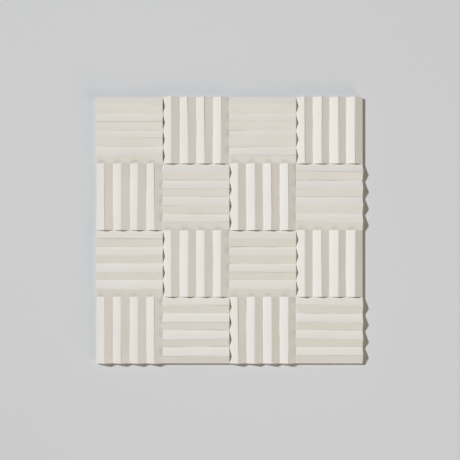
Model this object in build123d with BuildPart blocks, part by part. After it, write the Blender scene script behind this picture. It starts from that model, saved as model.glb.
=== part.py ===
import os

from build123d import *

# A square wall panel, cast in one piece. Its flat back lies on XY and its face looks up +Z.
# The face is a chequer of ridged squares, and each square is turned a quarter from its neighbours.

# Driving sizes, in millimetres
panel_side = 600.0  # outside width and height of the panel
squares_per_side = 4  # ridged squares in each row and each column
ridges_per_square = 4  # ridges across one square
back_thickness = 10.0  # flat back to the valley lines
ridge_height = 11.0  # valley line to the sharp crest, before rounding
crest_radius = 0.5  # rounding along the top of each ridge

# Sizes that follow from them
square_side = panel_side / squares_per_side
half_ridge = square_side / (2 * ridges_per_square)

# One ridged square, with its ridges along Y, a valley line at both sides and square-cut ends
with BuildPart() as ridged_square:
    with BuildSketch(Plane.XZ) as ridge_section:
        with BuildLine():
            zigzag = [
                (-square_side / 2 + step * half_ridge, back_thickness + ridge_height * (step % 2))
                for step in range(2 * ridges_per_square + 1)
            ]
            Polyline((-square_side / 2, 0), *zigzag, (square_side / 2, 0), close=True)
        make_face()
        crests = ridge_section.vertices().group_by(Axis.Y)[-1]
        fillet(crests, radius=crest_radius)
    extrude(amount=square_side / 2, both=True)

# The whole panel: the squares side by side, every second one turned a quarter
with BuildPart() as panel:
    square_places = [
        Location(
            (
                (column - (squares_per_side - 1) / 2) * square_side,
                (row - (squares_per_side - 1) / 2) * square_side,
                0,
            ),
            (0, 0, 90 * ((row + column) % 2)),
        )
        for row in range(squares_per_side)
        for column in range(squares_per_side)
    ]
    with Locations(*square_places):
        add(ridged_square.part)

panel.part.label = "panel"

os.makedirs("parts", exist_ok=True)
export_step(panel.part, "parts/panel.step")

size = panel.part.bounding_box().size
print(f"panel {size.X:.1f} x {size.Y:.1f} x {size.Z:.1f} mm, {panel.part.volume / 1e6:.2f} litres")
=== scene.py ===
import math

import bpy
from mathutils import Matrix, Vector


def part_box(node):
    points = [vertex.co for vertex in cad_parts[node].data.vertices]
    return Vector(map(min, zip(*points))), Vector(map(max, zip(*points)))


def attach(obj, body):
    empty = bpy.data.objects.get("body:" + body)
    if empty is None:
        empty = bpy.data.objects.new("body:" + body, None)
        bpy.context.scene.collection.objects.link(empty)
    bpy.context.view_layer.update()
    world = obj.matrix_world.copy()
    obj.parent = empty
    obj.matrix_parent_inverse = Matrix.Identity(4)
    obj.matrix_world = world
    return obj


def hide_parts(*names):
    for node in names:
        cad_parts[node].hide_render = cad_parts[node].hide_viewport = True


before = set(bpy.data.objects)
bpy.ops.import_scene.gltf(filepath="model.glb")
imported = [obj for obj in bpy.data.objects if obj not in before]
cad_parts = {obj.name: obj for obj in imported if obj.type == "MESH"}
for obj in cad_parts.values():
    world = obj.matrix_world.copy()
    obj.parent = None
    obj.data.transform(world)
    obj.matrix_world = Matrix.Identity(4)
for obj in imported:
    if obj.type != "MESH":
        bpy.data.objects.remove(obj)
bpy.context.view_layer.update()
panelLow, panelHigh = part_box("panel")
print("frame loaded, panel", [round(v, 4) for v in panelHigh - panelLow])


class Wire:  # one socket of a node tree, so that sums on it add Math nodes

    def __init__(self, tree, socket=None):
        self.tree = tree
        self.socket = socket

    def node(self, kind, settings=None, inputs=None, out=0):
        made = self.tree.nodes.new(kind)
        for name, value in (settings or {}).items():
            setattr(made, name, value)
        for name, value in (inputs or {}).items():
            for one in value if isinstance(value, list) else [value]:
                if isinstance(one, Wire):
                    self.tree.links.new(one.socket, made.inputs[name])
                else:
                    made.inputs[name].default_value = one
        return Wire(self.tree, made.outputs[out])

    def other(self, name):  # another output of the same node
        return Wire(self.tree, self.socket.node.outputs[name])

    def math(self, operation, *values):
        return self.node("ShaderNodeMath", {"operation": operation}, dict(enumerate((self, *values))))

    def atLeast(self, value):
        return self.math("MAXIMUM", value)

    def atMost(self, value):
        return self.math("MINIMUM", value)

    def __add__(self, value):
        return self.math("ADD", value)

    def __radd__(self, value):
        return self.math("ADD", value)

    def __mul__(self, value):
        return self.math("MULTIPLY", value)

    def __rmul__(self, value):
        return self.math("MULTIPLY", value)

    def __sub__(self, value):
        return self.math("SUBTRACT", value)

    def __rsub__(self, value):
        return (self * -1.0).math("ADD", value)

    def __truediv__(self, value):
        return self.math("DIVIDE", value)

    def __pow__(self, value):
        return self.math("POWER", value)

    def __lt__(self, value):
        return self.math("LESS_THAN", value)

    def __gt__(self, value):
        return self.math("GREATER_THAN", value)


# The casting: sizes in metres, as in the part's source
casting = {
    "Squares": 4,
    "Ridges": 4,
    "Back Thickness": 0.010,
    "Ridge Height": 0.011,
    "Crest Radius": 0.0004,
    "Valley Radius": 0.0001,
    "Arris": 0.0003,  # drop of the worn corner at the square-cut ends
    "Facet Steps": 8,  # rows of faces from a valley to a crest
    "Waver": 0.0011,  # how far a crest strays from its line
    "Waver Scale": 9.0,  # this scale and those below are bumps of noise to a metre
    "Unevenness": 0.00012,  # hollows and swells on the facets
    "Uneven Scale": 22.0,
    "Wear": 0.0004,  # depth of the worn stretches along the crests
    "Wear Scale": 30.0,
    "Step": 0.0013,  # how far a facet may lie under its crest, as a hand-made mould leaves it
    "Step Taper": 1.5,  # how much that changes along the ridge
    "Dirt": 1.0,  # strength of the painted shade in stretches of valleys and under the steps
    "Feet Shade": 0.3,  # strength of the painted shade at the feet of the square-cut ends
    "Shade Width": 19.0,  # a line of painted shade is a facet's width divided by this
    "Shade Scale": 14.0,
    "Seed": 7,
}


def castingSizes():  # the values above, with the width and the top of the panel from the frame
    return {**casting, "Side": panelHigh.x - panelLow.x, "Top": panelHigh.z}


def castingTree(material):
    tree = bpy.data.node_groups.new("ribbedPanel", "GeometryNodeTree")
    tree.interface.new_socket("Geometry", in_out="OUTPUT", socket_type="NodeSocketGeometry")
    for name, value in castingSizes().items():
        kind = "NodeSocketInt" if isinstance(value, int) else "NodeSocketFloat"
        tree.interface.new_socket(name, in_out="INPUT", socket_type=kind)
    net = Wire(tree)
    given = net.node("NodeGroupInput")
    size = {socket.name: Wire(tree, socket) for socket in given.socket.node.outputs if socket.name}

    # Every facet has the same rows, and two rows stand one over the other where squares meet
    facets = size["Ridges"] * 2.0
    squareSteps = facets * size["Facet Steps"]
    period = squareSteps + 1.0
    steps = size["Squares"] * period - 1.0
    squareSide = size["Side"] / size["Squares"]
    halfRidge = squareSide / facets

    lattice = net.node("GeometryNodeMeshGrid", None,
                       {"Size X": 1.0, "Size Y": 1.0, "Vertices X": steps + 1.0, "Vertices Y": steps + 1.0})
    start = net.node("ShaderNodeSeparateXYZ", None, {0: net.node("GeometryNodeInputPosition")})

    def alongAxis(value):  # number of the square, place in it in facets, and place on the panel in metres
        step = ((value + 0.5) * steps).math("ROUND")
        square = ((step + 0.25) / period).math("FLOOR")
        place = (step - square * period) / size["Facet Steps"]
        facet = (place + 0.001).math("FLOOR")
        part = place - facet
        eased = part * part * (3.0 - part * 2.0)
        eased = (eased + eased * eased * (3.0 - eased * 2.0)) * 0.5  # rows crowd at crests and valleys
        place = facet + eased
        return square, place, square * squareSide + place * halfRidge - size["Side"] * 0.5

    squareX, placeX, x = alongAxis(start.other("X"))
    squareY, placeY, y = alongAxis(start.other("Y"))
    turned = (squareX + squareY).math("MODULO", 2.0)  # 1 where the ridges run along X
    across = turned * placeY + (1.0 - turned) * placeX
    along = turned * placeX + (1.0 - turned) * placeY

    def field(scale, shift, detail=2.0):  # smooth noise over the panel, about -1 to 1
        at = net.node("ShaderNodeCombineXYZ", None, {"X": x, "Y": y, "Z": size["Seed"] * 1.7 + shift})
        noise = net.node("ShaderNodeTexNoise", None, {"Vector": at, "Scale": scale, "Detail": detail})
        return (noise - 0.5) * 4.0

    def lot(shift, share=0.5):  # a chance value for each ridge, -1 to 1, or for each facet where share is 1
        number = (across * share + 0.001).math("FLOOR")
        at = net.node("ShaderNodeCombineXYZ", None,
                      {"X": squareX + 0.5, "Y": squareY + 0.5, "Z": number + size["Seed"] * 3.1 + shift})
        return (net.node("ShaderNodeTexWhiteNoise", {"noise_dimensions": "3D"}, {"Vector": at}) - 0.5) * 2.0

    # Height of the face: two flanks, eased into each other at crest and valley
    fall = 1.0 - across.math("PINGPONG", 1.0)
    crestEase = size["Crest Radius"] * size["Ridge Height"] / (halfRidge * halfRidge)
    valleyEase = size["Valley Radius"] * size["Ridge Height"] / (halfRidge * halfRidge)
    rise = 1.0 - (fall * fall + crestEase * crestEase).math("SQRT")
    rise = (rise * rise + valleyEase * valleyEase).math("SQRT")
    edgeX = placeX.atMost(facets - placeX)
    edgeY = placeY.atMost(facets - placeY)
    edge = edgeX.atMost(edgeY) * halfRidge
    onEdge = edge < 0.00001  # the outermost row of a square
    z = size["Back Thickness"] + size["Ridge Height"] * rise
    z = z + field(size["Uneven Scale"], 0.3) * size["Unevenness"] * rise
    crest = (1.0 - fall * 12.0).atLeast(0.0)
    worn = (field(size["Wear Scale"], 6.6) + lot(2.0) * 0.5).atLeast(0.0).atMost(1.0)
    z = z - crest * size["Wear"] * worn
    taper = lot(63.0, 1.0) * (along / facets - 0.5) * size["Step Taper"]
    under = (lot(62.0, 1.0) + taper + 0.1).atLeast(0.0).atMost(1.0)
    under = (fall > 0.001) * under * under  # none on the crest itself
    z = z - rise * size["Step"] * under
    z = z - onEdge * size["Arris"] * (rise * 8.0).atMost(1.0)
    z = z.atMost(size["Top"])  # nothing stands over the solid

    # A crest strays from its line, but the sides of a square stay straight
    free = across.atMost(1.0) * (facets - across).atMost(1.0)
    tilt = lot(4.0) * (along / facets - 0.5) * 2.0
    aside = (lot(1.0) * 0.35 + tilt * 0.5) * (1.0 - fall * fall)
    stray = (field(size["Waver Scale"], 5.1, 1.0) * 0.5 + aside) * size["Waver"] * free
    place = net.node("ShaderNodeCombineXYZ", None,
                     {"X": x + (1.0 - turned) * stray, "Y": y + turned * stray, "Z": z})

    # Painted shade darkens the feet of the square-cut ends, some valleys and the notches under the steps at
    # the crests
    feet = (across.atMost(facets - across) < 0.001) * size["Feet Shade"]
    # painted shade along some valleys, stronger in some than others
    inValley = (lot(7.0) + field(size["Shade Scale"], 2.2)).atLeast(0.0) * size["Dirt"]
    valley = (1.0 - rise * size["Shade Width"]).atLeast(0.0) * inValley
    # painted shade in the notch under a step beside the crest
    line = (1.0 - fall * size["Shade Width"]).atLeast(0.0) * under * size["Dirt"]
    dirt = feet.atLeast(valley).atLeast(line).atMost(2.0)
    shape = net.node("GeometryNodeStoreNamedAttribute", {"data_type": "FLOAT", "domain": "POINT"},
                     {"Geometry": lattice, "Name": "dirt", "Value": dirt})
    shape = net.node("GeometryNodeStoreNamedAttribute", {"data_type": "FLOAT", "domain": "POINT"},
                     {"Geometry": shape, "Name": "crest", "Value": crest})
    shape = net.node("GeometryNodeSetPosition", None, {"Geometry": shape, "Position": place})

    # Four plain edges down to the back, and the back closed by one face
    rim = net.node("GeometryNodeInputMeshEdgeNeighbors") < 1.5
    sides = net.node("GeometryNodeExtrudeMesh", {"mode": "EDGES"},
                     {"Mesh": shape, "Selection": rim, "Offset Scale": 0.0})
    foot = sides.other("Top")
    now = net.node("ShaderNodeSeparateXYZ", None, {0: net.node("GeometryNodeInputPosition")})
    level = net.node("ShaderNodeCombineXYZ", None, {"X": now, "Y": now.other("Y"), "Z": 0.0})
    shape = net.node("GeometryNodeSetPosition", None,
                     {"Geometry": sides, "Selection": foot, "Position": level})
    outline = net.node("GeometryNodeMeshToCurve", None, {"Mesh": shape, "Selection": foot})
    back = net.node("GeometryNodeFillCurve", {"mode": "NGONS"}, {"Curve": outline})
    back = net.node("GeometryNodeFlipFaces", None, {"Mesh": back})
    shape = net.node("GeometryNodeJoinGeometry", None, {"Geometry": [back, shape]})
    shape = net.node("GeometryNodeMergeByDistance", None, {"Geometry": shape, "Distance": 0.00001})
    sharp = net.node("GeometryNodeInputMeshEdgeAngle") > math.radians(38)
    shape = net.node("GeometryNodeSetShadeSmooth", {"domain": "FACE"},
                     {"Geometry": shape, "Shade Smooth": True})
    shape = net.node("GeometryNodeSetShadeSmooth", {"domain": "EDGE"},
                     {"Geometry": shape, "Selection": sharp, "Shade Smooth": False})
    shape = net.node("GeometryNodeRealizeInstances", None, {"Geometry": shape})
    shape = net.node("GeometryNodeSetMaterial", None, {"Geometry": shape, "Material": material})
    output = tree.nodes.new("NodeGroupOutput")
    tree.links.new(shape.socket, output.inputs["Geometry"])
    return tree


# The surface: matt off-white plaster with faint clouds, fine grain and a few pores, with painted shade in the
# pores, some valleys, under the crest steps and at the feet of the ends
plaster = {
    "pale": (0.737, 0.704, 0.652),
    "warm": (0.708, 0.667, 0.602),
    # dark brown of the painted shade in valleys, under the steps, at the feet of the ends and in the pores
    "dirt": (0.270, 0.250, 0.190),
    "shadeShare": 0.50,  # share of the painted shade colour where the painted shade is 1
    "poreShare": 0.25,  # share of the painted shade colour in a pore, painted shade in its hollow
    "roughness": 0.86,
    "specular": 0.25,
    "cloudScale": 11.0,  # clouds to a metre
    "poreScale": 520.0,
    "grainSize": 0.0011,
    "grainDepth": 0.00010,
    "grainStrength": 0.6,
}


def plasterMaterial():
    material = bpy.data.materials.new("castPlaster")
    material.use_nodes = True
    tree = material.node_tree
    shader = tree.nodes["Principled BSDF"]
    net = Wire(tree)
    spot = net.node("ShaderNodeTexCoord", None, None, "Object")

    def noise(scale, detail):
        return net.node("ShaderNodeTexNoise", None, {"Vector": spot, "Scale": scale, "Detail": detail})

    cloud = noise(plaster["cloudScale"], 4.0)
    grain = noise(1.0 / plaster["grainSize"], 3.0)
    pores = noise(plaster["poreScale"], 1.0)
    pores = net.node("ShaderNodeMapRange", None,
                     {"Value": pores, "From Min": 0.70, "From Max": 0.78, "To Min": 0.0, "To Max": 1.0})
    dirt = net.node("ShaderNodeAttribute", {"attribute_name": "dirt"}, None, "Fac")
    crest = net.node("ShaderNodeAttribute", {"attribute_name": "crest"}, None, "Fac")

    warmth = (cloud - 0.5) * 1.6 + (grain - 0.5) * 0.5 + 0.45
    colour = net.node("ShaderNodeMix", {"data_type": "RGBA"},
                      {0: warmth, 6: (*plaster["pale"], 1.0), 7: (*plaster["warm"], 1.0)}, 2)
    # painted shade: the casting's shade lines and the pores take on the dark colour
    shadeAmount = dirt * plaster["shadeShare"] + pores * plaster["poreShare"]
    dull = net.node("ShaderNodeMix", {"data_type": "RGBA"},
                    {0: shadeAmount, 6: colour, 7: (*plaster["dirt"], 1.0)}, 2)
    tree.links.new(dull.socket, shader.inputs["Base Color"])
    rough = plaster["roughness"] + (grain - 0.5) * 0.12 - crest * 0.04
    tree.links.new(rough.socket, shader.inputs["Roughness"])
    height = grain - pores * 0.8
    bump = net.node("ShaderNodeBump", None, {"Height": height, "Distance": plaster["grainDepth"],
                                             "Strength": plaster["grainStrength"]})
    tree.links.new(bump.socket, shader.inputs["Normal"])
    shader.inputs["Specular IOR Level"].default_value = plaster["specular"]
    return material


def makePanel():
    material = plasterMaterial()
    tree = castingTree(material)
    holder = bpy.data.objects.new("panelHolder", bpy.data.meshes.new("panelHolder"))
    bpy.context.scene.collection.objects.link(holder)
    modifier = holder.modifiers.new("ribs", "NODES")
    modifier.node_group = tree
    values = castingSizes()
    for item in tree.interface.items_tree:
        if item.in_out == "INPUT":
            modifier[item.identifier] = values[item.name]
    bpy.context.view_layer.update()
    depsgraph = bpy.context.evaluated_depsgraph_get()
    mesh = bpy.data.meshes.new_from_object(holder.evaluated_get(depsgraph))
    bpy.data.objects.remove(holder)
    mesh.name = "ribbed_panel"
    piece = bpy.data.objects.new("ribbed_panel", mesh)
    bpy.context.scene.collection.objects.link(piece)
    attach(piece, "root")
    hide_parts("panel")
    print("panel cast,", len(mesh.vertices), "points and", len(mesh.polygons), "faces")


makePanel()

# The stage: a pale round floor, a key lamp at the upper left, a soft board at the lower right and an even fill
stage = {
    "floorRadius": 2.6,
    "floorGap": 0.0004,  # keeps the floor off the back of the panel
    "floorColour": (0.60, 0.60, 0.60),
    "keyAzimuth": 28.0,  # degrees above the left, seen from over the panel
    "keyHeight": 53.0,  # degrees above the floor
    "keyDistance": 3.7,
    "keySize": 0.32,
    "keyPower": 10.25,
    "keyAim": (3.0, -1.2, 0.0),  # past the panel, so that its lower right gets a little more light
    "keyColour": (0.955, 1.0, 1.06),
    "fill": 0.14,
    "fillColour": (1.14, 1.0, 0.82),
    "backdrop": (0.57, 0.58, 0.60),  # seen past the floor, and gives no light
    "boardAzimuth": 310.5,  # degrees from the right, against the clock
    "boardHeight": 22.0,
    "boardDistance": 2.4,
    "boardSize": 1.6,
    "boardPower": 3.28,
    "boardAim": (0.0, 0.0, 0.0),
    "boardColour": (1.10, 1.0, 0.87),
}


def addLamp(name, size, power, colour, reach, height, azimuth, aim):  # a round lamp with even light
    lamp = bpy.data.lights.new(name, "AREA")
    lamp.shape = "DISK"
    lamp.size = size
    lamp.energy = 1.0
    lamp.color = colour
    lamp.use_nodes = True
    even = Wire(lamp.node_tree).node("ShaderNodeLightFalloff", None, {"Strength": power}, "Constant")
    lamp.node_tree.links.new(even.socket, lamp.node_tree.nodes["Emission"].inputs["Strength"])
    holder = bpy.data.objects.new(name, lamp)
    bpy.context.scene.collection.objects.link(holder)
    lift = math.radians(height)
    turn = math.radians(azimuth)
    level = reach * math.cos(lift)
    holder.location = (level * math.cos(turn), level * math.sin(turn), reach * math.sin(lift))
    holder.rotation_euler = (Vector(aim) - holder.location).to_track_quat("-Z", "Y").to_euler()


def makeStage():
    reach = stage["floorRadius"]
    turns = [math.radians(angle) for angle in range(0, 360, 3)]
    rim = [(reach * math.cos(turn), reach * math.sin(turn), -stage["floorGap"]) for turn in turns]
    mesh = bpy.data.meshes.new("floor")
    mesh.from_pydata(rim, [], [range(len(rim))])
    material = bpy.data.materials.new("paleFloor")
    material.use_nodes = True
    shader = material.node_tree.nodes["Principled BSDF"]
    shader.inputs["Base Color"].default_value = (*stage["floorColour"], 1.0)
    shader.inputs["Roughness"].default_value = 0.9
    mesh.materials.append(material)
    floor = bpy.data.objects.new("floor", mesh)
    bpy.context.scene.collection.objects.link(floor)

    world = bpy.data.worlds.new("studio")
    world.use_nodes = True
    net = Wire(world.node_tree)
    path = net.node("ShaderNodeLightPath", None, None, "Is Camera Ray")
    seen = (path + path.other("Is Glossy Ray") + path.other("Is Transmission Ray")).atMost(1.0)
    fill = [stage["fill"] * part for part in stage["fillColour"]]
    tone = net.node("ShaderNodeMix", {"data_type": "RGBA"},
                    {0: seen, 6: (*fill, 1.0), 7: (*stage["backdrop"], 1.0)}, 2)
    world.node_tree.links.new(tone.socket, world.node_tree.nodes["Background"].inputs["Color"])
    bpy.context.scene.world = world

    addLamp("key", stage["keySize"], stage["keyPower"], stage["keyColour"],
            stage["keyDistance"], stage["keyHeight"], 180.0 - stage["keyAzimuth"], stage["keyAim"])
    addLamp("board", stage["boardSize"], stage["boardPower"], stage["boardColour"],
            stage["boardDistance"], stage["boardHeight"], stage["boardAzimuth"], stage["boardAim"])
    print("stage lit")


makeStage()

# The camera: straight over the panel, looking down
view = {
    "distance": 1.8,  # metres from the valley lines
    "panelPixels": 266.1,  # width of the panel in a picture of 460
    "picture": 460.0,
    "panelMiddle": (229.5, 230.3),  # where the middle of the panel falls in it
    "footBelow": 0.09,  # the camera stands this far below the middle, with the lens shifted back up
}


def makeCamera():
    lens = bpy.data.cameras.new("camera")
    lens.sensor_width = 36.0
    wide = (panelHigh.x - panelLow.x) * view["picture"] / view["panelPixels"]
    lens.lens = lens.sensor_width * view["distance"] / wide
    camera = bpy.data.objects.new("camera", lens)
    bpy.context.scene.collection.objects.link(camera)
    middleX, middleY = view["panelMiddle"]
    pixel = wide / view["picture"]
    aside = (view["picture"] / 2 - middleX) * pixel
    lower = (view["picture"] / 2 - middleY) * pixel + view["footBelow"]
    camera.location = (aside, -lower, casting["Back Thickness"] + view["distance"])
    lens.shift_y = view["footBelow"] / wide
    bpy.context.scene.camera = camera
    print("camera set, lens", round(lens.lens, 1))


makeCamera()
bpy.context.scene.view_settings.view_transform = "Standard"
bpy.context.view_layer.update()
